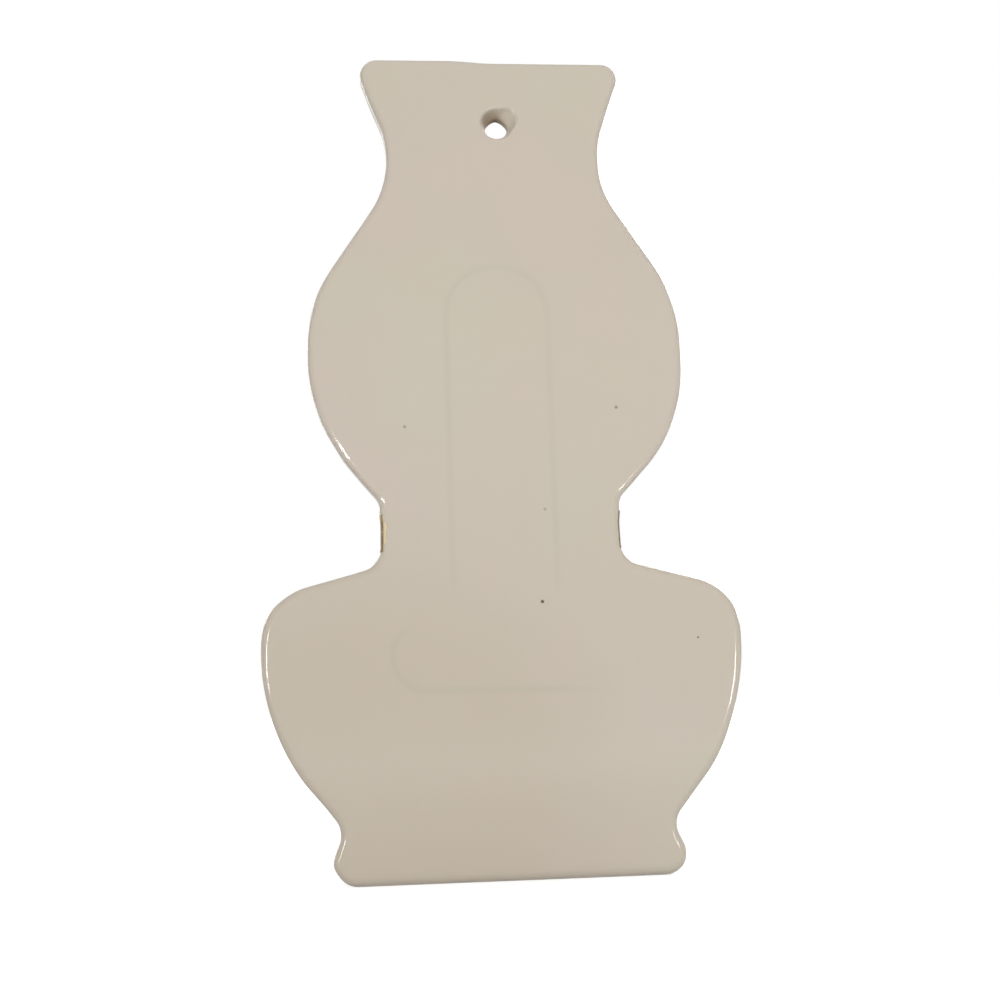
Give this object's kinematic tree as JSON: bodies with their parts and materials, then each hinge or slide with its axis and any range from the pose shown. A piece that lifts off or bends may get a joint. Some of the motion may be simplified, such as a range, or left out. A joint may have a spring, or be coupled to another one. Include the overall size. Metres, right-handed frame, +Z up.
{
  "type": "wall vase",
  "caption": "Glazed ceramic wall vase with a double-gourd outline: a flat back with a hanging hole and a hollow half-round front, open at the top for flowers.",
  "frame": {"origin": "on the axis of the hanging hole, level with the flat back, where the wall's screw or nail comes out", "axes": "+Z up, +Y out of the flat back towards the wall, the front bulges towards -Y, +X to the right seen from the front"},
  "size_m": [0.171, 0.0589, 0.3],
  "materials": {
    "cream_glaze": "glossy warm cream glaze over clay",
    "gold_lustre": "thin metallic gold lustre fired onto the glaze"
  },
  "bodies": {
    "root": {"back_plate": "cream_glaze", "foot_ring": "cream_glaze", "pocket_floor": "cream_glaze", "lower_bowl": "cream_glaze", "waist_collar": "cream_glaze", "upper_bulb": "cream_glaze", "neck_collar": "cream_glaze", "mouth_lip": "cream_glaze", "gold_waist_band": "gold_lustre"}
  },
  "joints": []
}
